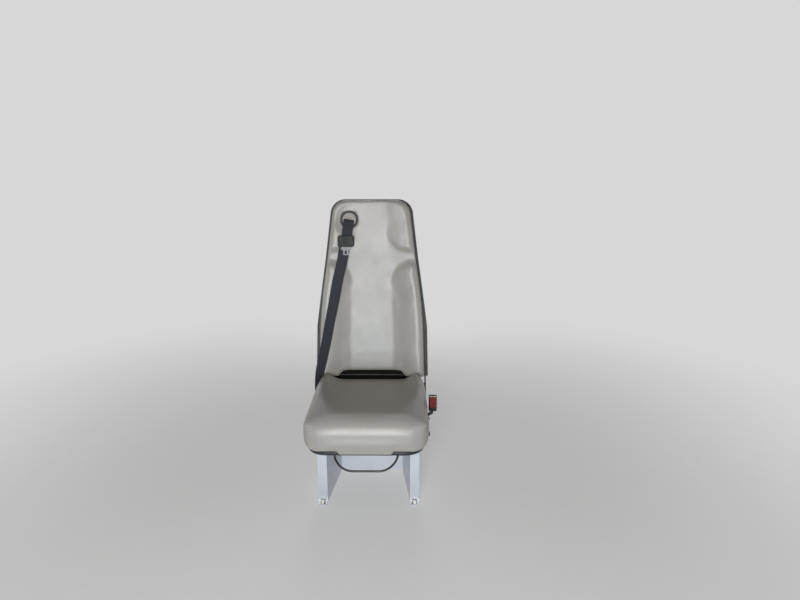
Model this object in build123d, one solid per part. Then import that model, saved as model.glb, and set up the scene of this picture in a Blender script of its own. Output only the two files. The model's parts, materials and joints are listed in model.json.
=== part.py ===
from build123d import *
import math
import os

os.makedirs("parts", exist_ok=True)

# Attendant seat on a folded floor pedestal, with a three-point belt built into its back.
# Millimetres, +Z up. The seat faces -Y. The origin is on the floor, at the centre of the
# four floor bolts. Left and right are those of someone who looks at the seat's front.

# Clearances
soft_gap = 0.3            # between a soft pad and the piece that carries it
glide_gap = 0.3           # between a glide block and the rail that it runs in
rail_gap = 4.0            # between the upper rail's web and the lower rail's lips
latch_gap = 1.0           # between the latch plate's blade and the sides of the buckle's mouth

# Pedestal
pedestal_depth = 256      # front flange's face to rear panel's face
pedestal_height = 272     # floor to the underside of the top plate
sheet = 4                 # folded aluminium sheet
front_half_width = 172    # inside, at the front
rear_half_width = 141     # inside, at the rear
flange_width = 38
foot_depth = 26
foot_thickness = 5
floor_hole_diameter = 11
top_flange_width = 30
strip_height = 34         # upright leg of the rear foot strip
top_plate_thickness = 6
top_plate_overhang = 22   # past the pedestal, front and rear
top_plate_half_width = 190
top_opening = (118, 100)  # lightening hole, across and along

# Slide rails
track_spacing = 316
lower_rail_length = 340
lower_rail_width = 46
lower_rail_height = 24
lower_rail_wall = 3
upper_rail_length = 380
upper_rail_shift = -45    # centre of the upper rails, ahead of the origin
upper_web = 10
upper_foot = (34, 4)      # width and thickness of the foot inside the lower rail
upper_head = (44, 4)      # width and thickness of the head under the pan
upper_rail_rise = 22      # lower rail's lip to the underside of the pan
glide_length = 60
glide_inset = 85          # middle of a glide block from the end of the upper rail

# Seat pan
pan_half_width = 224
pan_front = -301
pan_rear = 168
pan_corner_front = 76
pan_corner_rear = 40
pan_sheet = 3
pan_skirt = 13
pan_edge_radius = 4
pan_bead = (300, 14, 2)       # length, width and depth of a stiffening bead in the floor
pan_bead_x = (-84, 0, 84)
pan_bead_y = -50

# Seat cushion, heights above the pan
cushion_half_width = 240
cushion_side_bulge = 6        # sides are this much fuller at mid length
cushion_front = -305
cushion_rear = 166
cushion_corner_front = 72
cushion_corner_rear = 30
cushion_crest_y = -236
cushion_crest = 128           # top of the front roll
cushion_dish = 128            # the sides' crest at mid length
cushion_rear_top = 134
cushion_hollow = (            # distance from the crest, half width of floor and rim, depth
    (20, 60, 112, 0.6),
    (62, 92, 150, 2.5),
    (130, 122, 186, 5.5),
    (236, 140, 208, 11.5),
    (360, 150, 222, 20.5),
    (440, 154, 230, 27.5),
)
cushion_side_round = 56
cushion_tuck = 32             # radius of the sides' lower edge, where the cover tucks under
cushion_front_tuck = 8        # the same at the front
cushion_flap = (102, 9)       # half width of the cover's front flap, drop below the pan's top

# Back
recline = 9.0                 # degrees from upright
back_y = 175                  # front face at the foot of the back
back_rise = 133               # foot of the back above the pan
back_foot = -18               # lower edge, measured up the back's face
back_top = 774
back_half_width = 240
back_waist = (221.5, 354)     # half width and height up the back
back_neck = (200, 507)
back_head = (178, 690)
back_corner_radius = 62
pad_thickness = 60
pad_edge_radius = 20
hollow_above = 30             # how far the cuts for hollows reach out of a pad's face
back_hollow = (               # height up the back, half width of floor and rim, depth
    (-60, 96, 214, 36),
    (150, 94, 210, 37),
    (330, 92, 205, 36),
    (440, 92, 184, 30),
    (512, 84, 112, 22),       # ridge at the neck
    (552, 74, 108, 19),
    (610, 66, 150, 18),
    (690, 66, 156, 17),
    (742, 70, 126, 4),
)
guide_seat = 14               # depth of the face that the belt guide sits on
arch_half_widths = (156, 128)     # at the lower edge and at the top of the arch
arch_top = 12
board_thickness = 9
shell_grow_bottom = 15        # shell's rim outside the pad at the hips
shell_grow_top = 3
shell_lap = 10                # shell's rim forward of the pad's rear face
shell_depth_bottom = 62       # behind the rim
shell_depth_top = 38
shell_wall = 3.5
shell_sections = ((0, 0), (0.7, 2), (0.94, 11), (1, 25))   # share of depth, drawn in

# Brackets between pan and back
bracket_x = 242               # inner face
bracket_thickness = 5
bracket_foot = (-20, 150)     # front and rear ends of the foot
bracket_foot_height = 34
bracket_reach = 190           # up the back
bracket_width = 34
bracket_tip_width = 18
bracket_corner = 9
shell_notch = 1.5             # around a bracket where it enters the shell
spacer_diameter = 18
spacer_y = (0, 120)
cross_tube_diameter = 25
cross_tube_wall = 2.5
cross_tube_y = 196
cross_tube_rise = 63          # above the pan

# Belt
web_width = 46.5
web_thickness = 1.6
web_level_tongue = 3.8        # middle of the belt out of the back's face, in the tongue
guide_x = -98
guide_s = 686
guide_radius = 38
guide_wall = 8
guide_neck = 4                # the ring's neck is this much smaller than its flange
guide_flange = 5
guide_depth = 40              # its neck, behind the flange
guide_edge = 2
guide_plate_thickness = 6
guide_plate_gap = 0.1
guide_slot = (54, 9)
tongue_x = -112
tongue_s = 590
tongue_n = 0.4
tongue_size = (72, 50, 13)
tongue_slot = (60, 3.8)
tongue_shoulders = (44, 13)   # width and height of the latch plate next to the grip
tongue_blade = 36             # latch plate's whole height
tongue_plate_thickness = 2.5
tongue_window = (10, 14)
tongue_plate_n = 7
anchor_y = 148
anchor_plate = (56, 34, 3)    # length, height and thickness
anchor_rise = 40              # its top above the skirt's edge
anchor_lap = 26               # how far the lap belt's end lies down over it

# Lap belt on the back: across, up the back, out of its face, turned about its own run
lap_places = (
    (-116, 583, 3.8, 0),
    (-128.5, 507, 3.6, 2),
    (-149, 418, 4, 8),
    (-165.5, 329, 4.5, 16),
    (-184, 239, 6, 23),
    (-200.5, 149, 9.5, 27),
    (-219.5, 59, 14, 32),
    (-232, 0, 17.5, 42),
)

# Buckle
buckle_x = 268
buckle_y = -4
buckle_size = (34, 24, 66)
buckle_rise = 46              # above the skirt's edge
buckle_corner = 7
buckle_slot = (26, 5, 38)
buckle_slot_y = 5
button_size = (28, 9, 48)
button_gap = 0.3
stalk_width = 24
stalk_thickness = 4
stalk_upright = 26

# Controls
release_half_widths = (131, 122)  # front bar and rear ends
release_rod = 8
release_front = -290
release_bend_y = -215
release_rear = -165
release_drop = 73             # front bar below the skirt's edge
release_radii = (30, 76, 76, 30)
knob_y = -134
knob_diameter = 20
knob_length = 15
knob_edge = 4
knob_stem = (8, 12)           # diameter and length

# Heights and places that follow
track_x = track_spacing / 2
top_plate_z = pedestal_height + top_plate_thickness
lip_z = top_plate_z + lower_rail_height
pan_floor_z = lip_z + upper_rail_rise
pan_top_z = pan_floor_z + pan_sheet
skirt_z = pan_top_z - pan_skirt
bolt_x = front_half_width + flange_width / 2
bolt_y = pedestal_depth / 2 + foot_depth / 2
back_z = pan_top_z + back_rise
bracket_face = bracket_x + bracket_thickness
buckle_z = skirt_z + buckle_rise
anchor_z = skirt_z + anchor_rise
lean = math.radians(recline)
back_up = Vector(0, math.sin(lean), math.cos(lean))
back_out = Vector(0, -math.cos(lean), math.sin(lean))
back_face = Plane(origin=(0, back_y, back_z), x_dir=(1, 0, 0), z_dir=back_out)


def slab(x0, x1, y0, y1, z0, z1):
    """A block between two opposite corners."""
    block = Box(x1 - x0, y1 - y0, z1 - z0)
    return Pos((x0 + x1) / 2, (y0 + y1) / 2, (z0 + z1) / 2) * block


def prism(points, z0, z1):
    """An upright prism on a plan polygon."""
    return Pos(0, 0, z0) * extrude(make_face(Polyline(*points, close=True)), z1 - z0)


def side_prism(points, x0, x1):
    """A plate parallel to the YZ plane, from points (y, z)."""
    face = make_face(Polyline(*points, close=True))
    return Pos(x0, 0, 0) * extrude(Plane.YZ * face, x1 - x0)


def on_back(shape):
    """From the back's own frame (x, up the back, out of its face) to the seat's frame."""
    return back_face.location * shape


def place_on_back(x, s, n):
    """World point of a place across, up the back and out of its face."""
    return Vector(x, back_y, back_z) + back_up * s + back_out * n


# Pedestal

def pedestal_side(side):
    """One splayed side with its front flange, forward foot and inward top flange."""
    front, rear = -pedestal_depth / 2, pedestal_depth / 2 - sheet
    wall = prism([(front_half_width, front), (front_half_width + sheet, front),
                  (rear_half_width + sheet, rear), (rear_half_width, rear)], 0, pedestal_height)
    flange = slab(front_half_width, front_half_width + flange_width, front, front + sheet,
                  0, pedestal_height)
    foot = slab(front_half_width, front_half_width + flange_width, front - foot_depth, front,
                0, foot_thickness)
    foot = fillet(foot.edges().filter_by(Axis.Z).group_by(Axis.Y)[0], 8)
    top = prism([(front_half_width, front), (rear_half_width, rear),
                 (rear_half_width - top_flange_width, rear),
                 (front_half_width - top_flange_width, front)],
                pedestal_height - sheet, pedestal_height)
    hole = Pos(bolt_x, -bolt_y, 0) * Cylinder(floor_hole_diameter / 2, 4 * foot_thickness)
    part = wall + flange + foot + top - hole
    return part if side > 0 else mirror(part, about=Plane.YZ)


def rear_panel():
    """Panel across the rear, between the sides' outer faces."""
    half = rear_half_width + sheet
    return slab(-half, half, pedestal_depth / 2 - sheet, pedestal_depth / 2, 0, pedestal_height)


def rear_foot_strip():
    """Angle along the foot of the rear panel that carries the two rear floor bolts."""
    half = front_half_width + flange_width
    face = pedestal_depth / 2
    foot = slab(-half, half, face, face + foot_depth, 0, foot_thickness)
    foot = fillet(foot.edges().filter_by(Axis.Z).group_by(Axis.Y)[-1], 8)
    upright_half = rear_half_width + sheet
    leg = slab(-upright_half, upright_half, face, face + sheet, 0, strip_height)
    strip = foot + leg
    for x in (-bolt_x, bolt_x):
        strip -= Pos(x, bolt_y, 0) * Cylinder(floor_hole_diameter / 2, 4 * foot_thickness)
    return strip


def top_plate():
    """Plate that closes the pedestal and carries the rails."""
    half_depth = pedestal_depth / 2 + top_plate_overhang
    plate = extrude(RectangleRounded(2 * top_plate_half_width, 2 * half_depth, 18),
                    top_plate_thickness)
    plate -= extrude(RectangleRounded(*top_opening, 40), top_plate_thickness)
    return Pos(0, 0, pedestal_height) * plate


# Slide rails

def lower_rail_profile():
    """Open channel with inward lips, in the plane across the rail."""
    outer = Pos(0, lower_rail_height / 2) * Rectangle(lower_rail_width, lower_rail_height)
    inner = Pos(0, lower_rail_height / 2) * Rectangle(
        lower_rail_width - 2 * lower_rail_wall, lower_rail_height - 2 * lower_rail_wall)
    slot = Pos(0, lower_rail_height) * Rectangle(
        upper_web + 2 * rail_gap, 3 * lower_rail_wall)
    return outer - inner - slot


def upper_rail_profile():
    """I section: foot in the channel, web through its slot, head under the pan."""
    foot_z = lower_rail_height / 2
    head_top = lower_rail_height + upper_rail_rise
    foot = Pos(0, foot_z) * Rectangle(*upper_foot)
    head = Pos(0, head_top - upper_head[1] / 2) * Rectangle(*upper_head)
    web = Pos(0, (foot_z + head_top) / 2) * Rectangle(upper_web, head_top - foot_z)
    return foot + head + web


def along_rail(profile, length, y_middle, x):
    """A section swept straight along Y on the top plate."""
    bar = extrude(Plane.XZ * profile, length / 2, both=True)
    return Pos(x, y_middle, top_plate_z) * bar


def lower_rail(x):
    return along_rail(lower_rail_profile(), lower_rail_length, 0, x)


def upper_rail(x):
    return along_rail(upper_rail_profile(), upper_rail_length, upper_rail_shift, x)


def glide_blocks(x):
    """Two plastic blocks around the upper rail's foot, a close fit in the channel."""
    cavity = (lower_rail_width - 2 * lower_rail_wall - 2 * glide_gap,
              lower_rail_height - 2 * lower_rail_wall - 2 * glide_gap)
    filling = Pos(0, lower_rail_height / 2) * Rectangle(*cavity)
    section = filling - upper_rail_profile()
    offset_y = upper_rail_length / 2 - glide_inset
    blocks = [along_rail(section, glide_length, upper_rail_shift + dy, x)
              for dy in (-offset_y, offset_y)]
    return Compound(children=blocks)


# Seat pan and cushion

def rounded_plan(half, front, rear, front_radius, rear_radius, bulge=0):
    """Plan of the pan or the cushion, with its own radius at front and rear corners."""
    middle = (front + rear) / 2
    if bulge:
        right = ThreePointArc((half, front), (half + bulge, middle), (half, rear))
    else:
        right = Line((half, front), (half, rear))
    plan = make_face([Line((-half, front), (half, front)), right,
                      Line((half, rear), (-half, rear)), mirror(right, about=Plane.YZ)])
    plan = fillet(plan.vertices().group_by(Axis.Y)[0], front_radius)
    return fillet(plan.vertices().group_by(Axis.Y)[-1], rear_radius)


def seat_pan():
    """Pressed tray, open below, with beads in its floor."""
    plan = rounded_plan(pan_half_width, pan_front, pan_rear, pan_corner_front, pan_corner_rear)
    inside = rounded_plan(pan_half_width - pan_sheet, pan_front + pan_sheet,
                          pan_rear - pan_sheet, pan_corner_front - pan_sheet,
                          pan_corner_rear - pan_sheet)
    tray = Pos(0, 0, skirt_z) * extrude(plan, pan_skirt)
    tray = fillet(tray.faces().sort_by(Axis.Z)[-1].edges(), pan_edge_radius)
    tray -= Pos(0, 0, skirt_z) * extrude(inside, pan_skirt - pan_sheet)
    length, width, depth = pan_bead
    for x in pan_bead_x:
        bead = extrude(SlotOverall(length, width, rotation=90), depth)
        tray -= Pos(x, pan_bead_y, pan_top_z - depth) * bead
    return tray


def hollow(places):
    """Cut for a padded face. Each place has its origin, half width of floor and rim, depth."""
    sections = []
    for origin, floor, rim, depth in places:
        section = Plane(origin=origin, x_dir=(1, 0, 0), z_dir=(0, 1, 0))
        outline = Polyline((-floor, depth), (floor, depth), (rim, 0), (rim, -hollow_above),
                           (-rim, -hollow_above), (-rim, 0), close=True)
        sections.append(section * make_face(outline))
    return loft(sections, ruled=True)


def cushion_level(y):
    """Height of the side crest over the pan at a place behind the front crest."""
    share = (y - cushion_crest_y) / (cushion_rear - cushion_crest_y)
    straight = cushion_crest + share * (cushion_rear_top - cushion_crest)
    middle = (cushion_crest + cushion_rear_top) / 2
    return straight - 4 * share * (1 - share) * (middle - cushion_dish)


def seat_cushion():
    """Dished pad with raised sides, a full front roll and a flap over the pan's front."""
    base = pan_top_z + soft_gap
    top = pan_top_z + cushion_crest
    rear_top = (cushion_rear, pan_top_z + cushion_rear_top)
    crest = (cushion_crest_y, top)
    nose = (cushion_front, (base + top) / 2 - 8)
    low = (cushion_front + 1, base + cushion_front_tuck)
    under = (low[0] + cushion_front_tuck * 0.29, base + cushion_front_tuck * 0.29)
    lip = (low[0] + cushion_front_tuck, base)
    shoulder = (cushion_front + 17, top - 19)
    dish = ((cushion_crest_y + cushion_rear) / 2, pan_top_z + cushion_dish)
    profile = make_face([
        Line(lip, (cushion_rear, base)),
        Line((cushion_rear, base), rear_top),
        ThreePointArc(rear_top, dish, crest),
        ThreePointArc(crest, shoulder, nose),
        Line(nose, low),
        ThreePointArc(low, under, lip)])
    block = extrude(Plane.YZ * profile, 2 * cushion_half_width, both=True)
    block -= hollow([
        ((0, cushion_crest_y + along, pan_top_z + cushion_level(cushion_crest_y + along)),
         floor, rim, depth) for along, floor, rim, depth in cushion_hollow])
    plan = rounded_plan(cushion_half_width - cushion_side_bulge, cushion_front, cushion_rear,
                        cushion_corner_front, cushion_corner_rear, cushion_side_bulge)
    column = Pos(0, 0, base) * extrude(plan, 2 * cushion_crest)
    flap_half, drop = cushion_flap
    flap = slab(-flap_half, flap_half, low[0], pan_front - soft_gap, pan_top_z - drop, low[1])
    return (block & column & cushion_crown(base, top)) + flap


def cushion_crown(base, top):
    """Bar along Y whose long edges round over at the top and tuck under at the bottom."""
    half, over, under = cushion_half_width, cushion_side_round, cushion_tuck
    low, high = base + under, top - over
    right = [
        ThreePointArc((half - under, base), (half - under * 0.29, base + under * 0.29),
                      (half, low)),
        Line((half, low), (half, high)),
        ThreePointArc((half, high), (half - over * 0.16, top - over * 0.42),
                      (half - over * 0.7, top + 4))]
    left = [mirror(edge, about=Plane.YZ) for edge in right]
    face = make_face([
        Line((under - half, base), (half - under, base)), *right,
        Line((half - over * 0.7, top + 4), (over * 0.7 - half, top + 4)), *left])
    return extrude(Plane.XZ * face, 2 * cushion_half_width, both=True)


# Back

def back_outline(grow_bottom=0, grow_top=0, foot=back_foot, top=back_top):
    """Front outline of the back: wide at the hips, narrower at the head."""
    def right_side():
        hip = (back_half_width + grow_bottom, foot)
        neck = (back_neck[0] + (grow_bottom + grow_top) / 2, back_neck[1])
        waist = (back_waist[0] + (grow_bottom + grow_top) / 2, back_waist[1])
        waist_low = (back_half_width - 5 + grow_bottom, back_waist[1] - 150)
        slope = (back_neck[0] - back_head[0]) / (back_head[1] - back_neck[1])
        corner = (neck[0] - slope * (top - back_neck[1]), top)
        return hip, waist_low, waist, neck, corner
    hip, waist_low, waist, neck, corner = right_side()

    def flip(p):
        return (-p[0], p[1])
    outline = make_face([
        Line(flip(hip), hip),
        Line(hip, waist_low),
        ThreePointArc(waist_low, waist, neck),
        Line(neck, corner),
        Line(corner, flip(corner)),
        Line(flip(corner), flip(neck)),
        ThreePointArc(flip(neck), flip(waist), flip(waist_low)),
        Line(flip(waist_low), flip(hip))])
    return fillet(outline.vertices().group_by(Axis.Y)[-1], back_corner_radius + grow_top)


def back_pad():
    """Pad with one long hollow for torso and head, an arched foot and the guide's seat."""
    outline = back_outline()
    arch_low, arch_high = arch_half_widths
    arch = make_face(Polyline((-arch_low, back_foot - 1), (arch_low, back_foot - 1),
                              (arch_high, arch_top), (-arch_high, arch_top), close=True))
    pad = Pos(0, 0, -pad_thickness) * extrude(outline - arch, pad_thickness)
    pad = fillet(pad.faces().sort_by(Axis.Z)[-1].edges(), pad_edge_radius)
    pad -= hollow([((0, s, 0), floor, rim, depth) for s, floor, rim, depth in back_hollow])
    guide = Pos(guide_x, guide_s, 0)
    pad -= guide * Cylinder(guide_radius - guide_neck + soft_gap, 3 * pad_thickness)
    pad -= guide * Pos(0, 0, 10 - guide_seat) * Cylinder(guide_radius + soft_gap, 20)
    return pad


def back_board():
    """Board that carries the pad and closes the shell."""
    board = Pos(0, 0, -pad_thickness - soft_gap - board_thickness) * extrude(
        back_outline(), board_thickness)
    board -= Pos(guide_x, guide_s, 0) * Cylinder(guide_radius - guide_neck + soft_gap,
                                                 4 * pad_thickness)
    return board


def shell_block(inset):
    """Outer form of the shell, or its inside when inset by the wall."""
    rim = shell_lap - pad_thickness
    sections = []
    for depth_share, draw_in in shell_sections:
        outline = back_outline(shell_grow_bottom - inset - draw_in,
                               shell_grow_top - inset - draw_in,
                               back_foot - 8 + inset + draw_in,
                               back_top + shell_grow_top - inset - draw_in)
        low = rim - depth_share * (shell_depth_bottom - inset)
        high = rim - depth_share * (shell_depth_top - inset)
        slope = math.atan((high - low) / (back_top - back_foot))
        plane = Plane(origin=(0, back_foot, low), x_dir=(1, 0, 0),
                      z_dir=(0, -math.sin(slope), math.cos(slope)))
        sections.append(plane * Pos(0, -back_foot, 0) * outline)
    return loft(sections)


def back_shell():
    """Moulded shell behind the board: a thick rim round the pad, thin walls behind it."""
    rim = shell_lap - pad_thickness
    ledge = rim - shell_lap - soft_gap - board_thickness
    hollow = shell_block(shell_wall) - Pos(0, 0, ledge + 100) * Box(2000, 4000, 200)
    mouth = back_outline(soft_gap, soft_gap, back_foot - soft_gap, back_top + soft_gap)
    shell = shell_block(0) - hollow - Pos(0, 0, ledge) * extrude(mouth, rim - ledge)
    shell = on_back(shell)
    for side in (-1, 1):
        shell -= side_bracket(side, shell_notch)
    return shell


# Brackets

def bracket_outline(grow=0):
    """Foot along the pan, then an arm up behind the board, as points (y, z)."""
    behind = -pad_thickness - board_thickness - 4
    front_top = place_on_back(0, bracket_reach, behind)
    rear_top = place_on_back(0, bracket_reach, behind - bracket_tip_width)
    front_low = place_on_back(0, back_foot, behind)
    rear_low = place_on_back(0, 2 * back_foot, behind - bracket_width)
    foot_front, foot_rear = bracket_foot
    low = skirt_z - 4
    high = low + bracket_foot_height
    return [(foot_front - grow, low - grow),
            (foot_rear + 2 * bracket_width + grow, low - grow),
            (rear_low.Y + grow, rear_low.Z - 20),
            (rear_top.Y + grow, rear_top.Z + grow),
            (front_top.Y - grow, front_top.Z + grow),
            (front_low.Y - grow, front_low.Z),
            (foot_rear - grow, high + grow), (foot_front - grow, high + grow)]


def side_bracket(side, grow=0):
    """Steel plate that stands off the pan's skirt and carries the back."""
    plate = side_prism(bracket_outline(grow), bracket_x - grow, bracket_face + grow)
    plate = fillet(plate.edges().filter_by(Axis.X), bracket_corner)
    return plate if side > 0 else mirror(plate, about=Plane.YZ)


def bracket_spacers():
    """Round spacers between the pan's skirt and the brackets, two a side."""
    length = bracket_x - pan_half_width
    spacer = Rot(0, 90, 0) * Cylinder(spacer_diameter / 2, length)
    z = skirt_z + (pan_skirt - pan_edge_radius) / 2
    return Compound(children=[Pos(side * (bracket_x + pan_half_width) / 2, y, z) * spacer
                              for side in (-1, 1) for y in spacer_y])


def cross_tube():
    """Tube between the two brackets under the back."""
    outer = cross_tube_diameter / 2
    tube = Cylinder(outer, 2 * bracket_x) - Cylinder(outer - cross_tube_wall, 2 * bracket_x)
    return Pos(0, cross_tube_y, pan_top_z + cross_tube_rise) * Rot(0, 90, 0) * tube


# Belt

def belt_guide():
    """Flanged ring in the pad, where the shoulder belt comes out."""
    seat_n = soft_gap - guide_seat
    face_n = seat_n + guide_flange
    neck_n = seat_n - guide_depth
    neck = guide_radius - guide_neck
    bore = guide_radius - guide_wall
    half = make_face(Polyline(
        (bore, neck_n), (neck, neck_n), (neck, seat_n), (guide_radius, seat_n),
        (guide_radius, face_n - guide_edge), (guide_radius - guide_edge, face_n),
        (bore + guide_edge, face_n), (bore, face_n - guide_edge), close=True))
    return Pos(guide_x, guide_s, 0) * revolve(Plane.XZ * half, Axis.Z)


def belt_guide_plate():
    """Plate inside the ring, with the slot that the belt runs through."""
    plate = Cylinder(guide_radius - guide_wall - guide_plate_gap, guide_plate_thickness)
    plate -= Box(guide_slot[0], guide_slot[1], 2 * guide_plate_thickness)
    return Pos(guide_x, guide_s, -guide_seat) * plate


def strap(points, width):
    """Strap with its section's edge as points (along, out) and its width across."""
    edge = Polyline(*points)
    ribbon = make_face(offset(edge, web_thickness / 2, side=Side.BOTH))
    return extrude(Plane.YZ * ribbon, width / 2, both=True)


def shoulder_webbing():
    """Belt from the guide's slot down to the tongue."""
    dx, ds = tongue_x - guide_x, tongue_s - guide_s
    angle, length = math.degrees(math.atan2(dx, -ds)), math.hypot(dx, ds)
    path = [(0, -guide_seat - 12), (0, -guide_seat + 4), (-18, 0),
            (-50, web_level_tongue), (7 - length, web_level_tongue)]
    return Pos(guide_x, guide_s, 0) * Rot(0, 0, angle) * strap(path, web_width)


def belt_section(here, along, turn):
    """Section across the belt: its width starts across the back and turns about its run."""
    across = along.cross(back_out).normalized()
    if across.X < 0:
        across = across * -1
    out = along.cross(across).normalized()
    if out.dot(back_out) < 0:
        out = out * -1
    angle = math.radians(turn)
    width = across * math.cos(angle) - out * math.sin(angle)
    return Plane(origin=here, x_dir=width, z_dir=along) * Rectangle(web_width, web_thickness)


def lap_webbing():
    """Belt from the tongue down across the back, turning until it lies on the side anchor."""
    standoff = anchor_plate[2] + soft_gap + web_thickness / 2
    points = [place_on_back(*place[:3]) for place in lap_places]
    points += [Vector(-bracket_face - standoff, anchor_y, anchor_z - drop)
               for drop in (0, anchor_lap)]
    turns = [place[3] for place in lap_places] + [90, 90]
    sections = []
    for i, turn in enumerate(turns):
        along = Vector(0, 0, -1)
        if i < len(lap_places):
            along = (points[i + 1] - points[max(i - 1, 0)]).normalized()
        sections.append(belt_section(points[i], along, turn))
    return loft(sections, ruled=True)


def tongue_body():
    """Moulded grip of the tongue, open for the belt that runs through it."""
    width, height, thick = tongue_size
    body = extrude(RectangleRounded(width, height, 9), thick)
    body = fillet(body.faces().sort_by(Axis.Z)[-1].edges(), 4)
    slot_width, slot_thickness = tongue_slot
    body -= Pos(0, 0, web_level_tongue - tongue_n) * Box(slot_width, 2 * height, slot_thickness)
    return Pos(tongue_x, tongue_s, tongue_n) * body


def tongue_plate():
    """Steel latch plate: shoulders at the grip, then a blade that fits the buckle's mouth."""
    width, height = tongue_shoulders
    blade_width = buckle_slot[0] - 2 * latch_gap
    plan = Pos(0, -height / 2) * RectangleRounded(width, height, 4)
    plan += Pos(0, -tongue_blade / 2) * RectangleRounded(blade_width, tongue_blade, 5)
    plan -= Pos(0, -(height + tongue_blade) / 2) * RectangleRounded(*tongue_window, 2)
    top = tongue_s - tongue_size[1] / 2
    return Pos(tongue_x, top, tongue_plate_n) * extrude(plan, tongue_plate_thickness)


def lap_anchor():
    """Plate on the left bracket that holds the lap belt's end."""
    length, height, thick = anchor_plate
    return slab(-bracket_face - thick, -bracket_face, anchor_y - length / 2,
                anchor_y + length / 2, anchor_z - height, anchor_z)


# Buckle

def buckle_stalk():
    """Bent steel strap from the right bracket's foot up to the buckle."""
    face = bracket_face + stalk_thickness / 2
    path = Polyline((face, skirt_z), (face, skirt_z + stalk_upright),
                    (buckle_x, buckle_z - 2 * stalk_thickness),
                    (buckle_x, buckle_z - stalk_thickness / 2))
    ribbon = make_face(offset(path, stalk_thickness / 2, side=Side.BOTH))
    return Pos(0, buckle_y, 0) * extrude(Plane.XZ * ribbon, stalk_width / 2, both=True)


def button_block(grow):
    """The button's block at the top of the buckle's front face."""
    width, depth, height = button_size
    block = Box(width + 2 * grow, depth + grow, height + grow, align=(
        Align.CENTER, Align.MIN, Align.MAX))
    return Pos(0, -buckle_size[1] / 2, buckle_size[2]) * block


def buckle_body():
    """Buckle housing with its mouth on top and a recess for the button in its face."""
    width, depth, height = buckle_size
    body = Pos(0, 0, height / 2) * Box(width, depth, height)
    body = fillet(body.edges().filter_by(Axis.Z), buckle_corner)
    body = fillet(body.faces().sort_by(Axis.Z)[0].edges(), 3)
    mouth_w, mouth_t, mouth_d = buckle_slot
    body -= Pos(0, buckle_slot_y, height - mouth_d / 2) * Box(mouth_w, mouth_t, mouth_d + 0.01)
    body -= button_block(button_gap)
    return Pos(buckle_x, buckle_y, buckle_z) * body


def buckle_button():
    """Push button, flush with the buckle's front and top."""
    button = button_block(0)
    button = fillet(button.faces().sort_by(Axis.Y)[0].edges().filter_by(Axis.Z), 2)
    return Pos(buckle_x, buckle_y, buckle_z) * button


# Controls

def release_bar():
    """U-shaped rod that hangs under the pan's front and runs back beside the rails."""
    front_half, rear_half = release_half_widths
    high = pan_floor_z - release_rod / 2 - soft_gap
    low = skirt_z - release_drop
    right = [(front_half, release_front, low), (rear_half, release_bend_y, high),
             (rear_half, release_rear, high)]
    left = [(-x, y, z) for x, y, z in reversed(right)]
    path = FilletPolyline(*left, *right, radius=release_radii)
    section = Plane(origin=path @ 0, z_dir=path % 0) * Circle(release_rod / 2)
    return sweep(section, path=path)


def side_knob():
    """Small round knob on its stem in the pan's right skirt."""
    stem_diameter, stem_length = knob_stem
    stem = Pos(0, 0, stem_length / 2) * Cylinder(stem_diameter / 2, stem_length)
    knob = Pos(0, 0, stem_length + knob_length / 2) * Cylinder(knob_diameter / 2, knob_length)
    knob = fillet(knob.edges().filter_by(GeomType.CIRCLE), knob_edge)
    z = skirt_z + (pan_skirt - pan_edge_radius) / 2
    return Pos(pan_half_width, knob_y, z) * Rot(0, 90, 0) * (stem + knob)


sub_parts = {
    "pedestal_side_left": pedestal_side(-1),
    "pedestal_side_right": pedestal_side(1),
    "pedestal_rear_panel": rear_panel(),
    "rear_foot_strip": rear_foot_strip(),
    "top_plate": top_plate(),
    "lower_rail_left": lower_rail(-track_x),
    "lower_rail_right": lower_rail(track_x),
    "upper_rail_left": upper_rail(-track_x),
    "upper_rail_right": upper_rail(track_x),
    "glide_blocks_left": glide_blocks(-track_x),
    "glide_blocks_right": glide_blocks(track_x),
    "seat_pan": seat_pan(),
    "seat_cushion": seat_cushion(),
    "back_pad": on_back(back_pad()),
    "back_board": on_back(back_board()),
    "back_shell": back_shell(),
    "side_bracket_left": side_bracket(-1),
    "side_bracket_right": side_bracket(1),
    "bracket_spacers": bracket_spacers(),
    "cross_tube": cross_tube(),
    "belt_guide": on_back(belt_guide()),
    "belt_guide_plate": on_back(belt_guide_plate()),
    "shoulder_webbing": on_back(shoulder_webbing()),
    "lap_webbing": lap_webbing(),
    "tongue_body": on_back(tongue_body()),
    "tongue_plate": on_back(tongue_plate()),
    "lap_anchor": lap_anchor(),
    "buckle_stalk": buckle_stalk(),
    "buckle_body": buckle_body(),
    "buckle_button": buckle_button(),
    "release_bar": release_bar(),
    "side_knob": side_knob(),
}

for name, shape in sub_parts.items():
    export_step(shape, f"parts/{name}.step")
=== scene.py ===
"""Looks of an ambulance attendant seat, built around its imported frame. Metres, +Z up."""
import json
from math import cos, pi, radians, sin

import bmesh
import bpy
import numpy as np
from mathutils import Matrix, Vector, noise

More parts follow.
